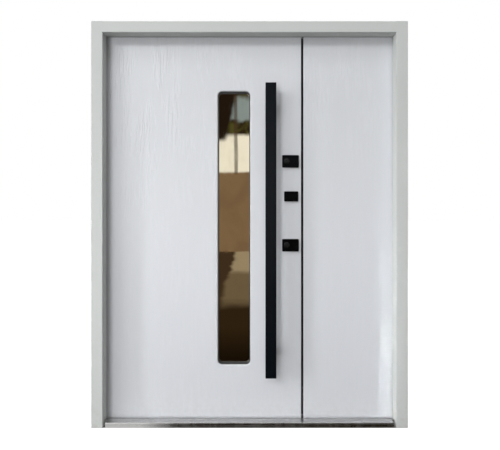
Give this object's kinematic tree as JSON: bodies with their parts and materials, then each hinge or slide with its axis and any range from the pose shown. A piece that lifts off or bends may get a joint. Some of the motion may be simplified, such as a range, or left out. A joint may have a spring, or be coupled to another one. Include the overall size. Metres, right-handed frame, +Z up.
{
  "type": "leaf-and-a-half front door",
  "caption": "Inward-opening steel front door in a pressed frame: wide leaf with a tall mirror-glass slot, long pull bar and lock plates, beside a narrow hinged side leaf.",
  "frame": {"origin": "centre of the threshold's underside, midway through the frame's depth", "axes": "+X to the right seen from outside, +Y into the building, +Z up"},
  "size_m": [1.6, 0.2175, 2.055],
  "materials": {
    "frame_paint": "light warm grey powder coat, satin",
    "leaf_paint": "cool white over an embossed wood grain, satin",
    "leaf_core": "rigid foam insulation",
    "stainless": "brushed stainless",
    "seal_rubber": "matt black rubber",
    "hinge_steel": "satin stainless",
    "dark_trim": "dark grey satin coating",
    "bronze_mirror_glass": "bronze reflective coating on clear float",
    "clear_glass": "clear float",
    "black_satin": "satin black coating",
    "black_gloss": "smooth black coating"
  },
  "bodies": {
    "frame": {"left_jamb": "frame_paint", "right_jamb": "frame_paint", "frame_head": "frame_paint", "threshold": "stainless", "left_jamb_seal": "seal_rubber", "right_jamb_seal": "seal_rubber", "head_seal": "seal_rubber", "threshold_seal": "seal_rubber", "main_hinge_frame_halves": "hinge_steel", "main_hinge_pins": "hinge_steel", "side_hinge_frame_halves": "hinge_steel", "side_hinge_pins": "hinge_steel"},
    "main_leaf": {"main_leaf_pan": "leaf_paint", "main_leaf_lid": "leaf_paint", "main_leaf_core": "leaf_core", "slot_trim_outside": "dark_trim", "slot_gaskets": "seal_rubber", "glass_outer_pane": "bronze_mirror_glass", "glass_spacer": "dark_trim", "glass_inner_pane": "clear_glass", "slot_trim_inside": "dark_trim", "pull_bar": "black_satin", "pull_posts": "black_satin", "upper_lock_plate": "black_gloss", "middle_blank_plate": "black_gloss", "lower_lock_plate": "black_gloss", "lock_cylinders": "black_gloss", "inside_upper_plate": "black_gloss", "inside_middle_plate": "black_gloss", "inside_lower_plate": "black_gloss", "inside_thumb_turns": "black_satin", "inside_lever": "black_satin", "lock_faceplates": "stainless", "lock_bolts": "stainless", "main_hinge_leaf_halves": "hinge_steel"},
    "side_leaf": {"side_leaf_pan": "leaf_paint", "side_leaf_lid": "leaf_paint", "side_leaf_core": "leaf_core", "side_meeting_seal": "seal_rubber", "strike_plates": "stainless", "flush_bolt_plates": "stainless", "side_hinge_leaf_halves": "hinge_steel"}
  },
  "joints": [
    {"name": "main_leaf_swing", "type": "hinge", "parent": "frame", "child": "main_leaf", "pos_m": [-0.759, 0.084, 1.0135], "axis": [0, 0, 1], "range_deg": [0, 105]},
    {"name": "side_leaf_swing", "type": "hinge", "parent": "frame", "child": "side_leaf", "pos_m": [0.759, 0.084, 1.0135], "axis": [0, 0, -1], "range_deg": [0, 105]}
  ]
}
